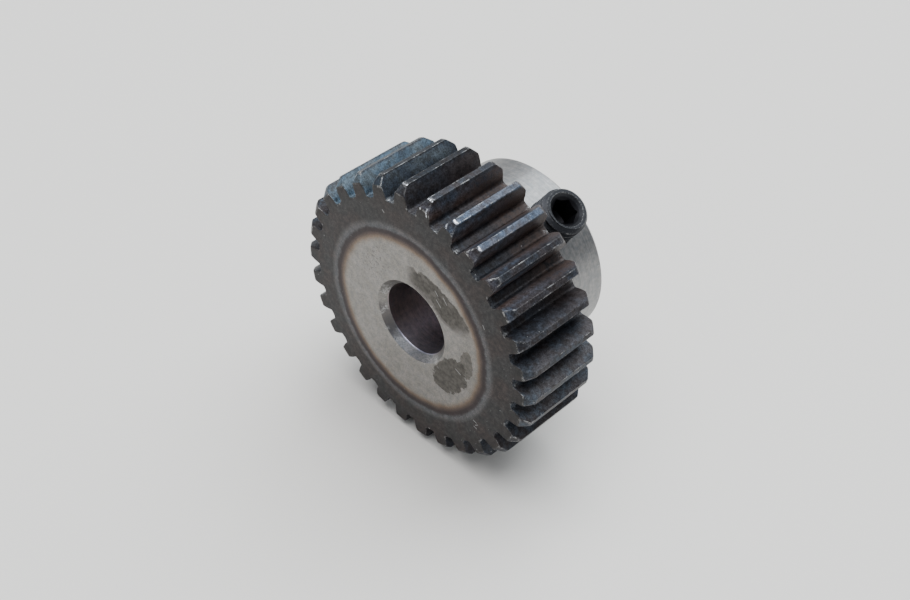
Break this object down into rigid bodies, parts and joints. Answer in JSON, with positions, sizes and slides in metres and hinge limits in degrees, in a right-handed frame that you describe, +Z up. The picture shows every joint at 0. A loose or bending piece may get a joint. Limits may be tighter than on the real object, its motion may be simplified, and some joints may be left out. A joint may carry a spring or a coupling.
{
  "type": "spur gear",
  "caption": "Module 1 steel spur gear with 30 teeth, a round hub on one side, an 8 mm bore and an M5 hex-socket set screw.",
  "frame": {"origin": "on the bore axis, midway along the teeth", "axes": "+Y along the bore axis, from the toothed front face toward the hub; +Z up, through the middle of a tooth space, with the gear standing on the two teeth either side of the space at -Z"},
  "size_m": [0.032, 0.018, 0.0318],
  "materials": {
    "gear_steel": "machined carbon steel, bare on the hub and around the bore, with dark heat oxide on the hardened toothed rim",
    "black_oxide_steel": "black oxide, slightly glossy, worn brighter on the thread crests and the end's rim"
  },
  "bodies": {
    "gear": {"gear": "gear_steel"},
    "set_screw": {"set_screw": "black_oxide_steel"}
  },
  "joints": [
    {"name": "set_screw_feed", "type": "slide", "parent": "gear", "child": "set_screw", "axis": [-0.5592, 0, -0.829], "range_m": [-0.001, 0.003]}
  ]
}
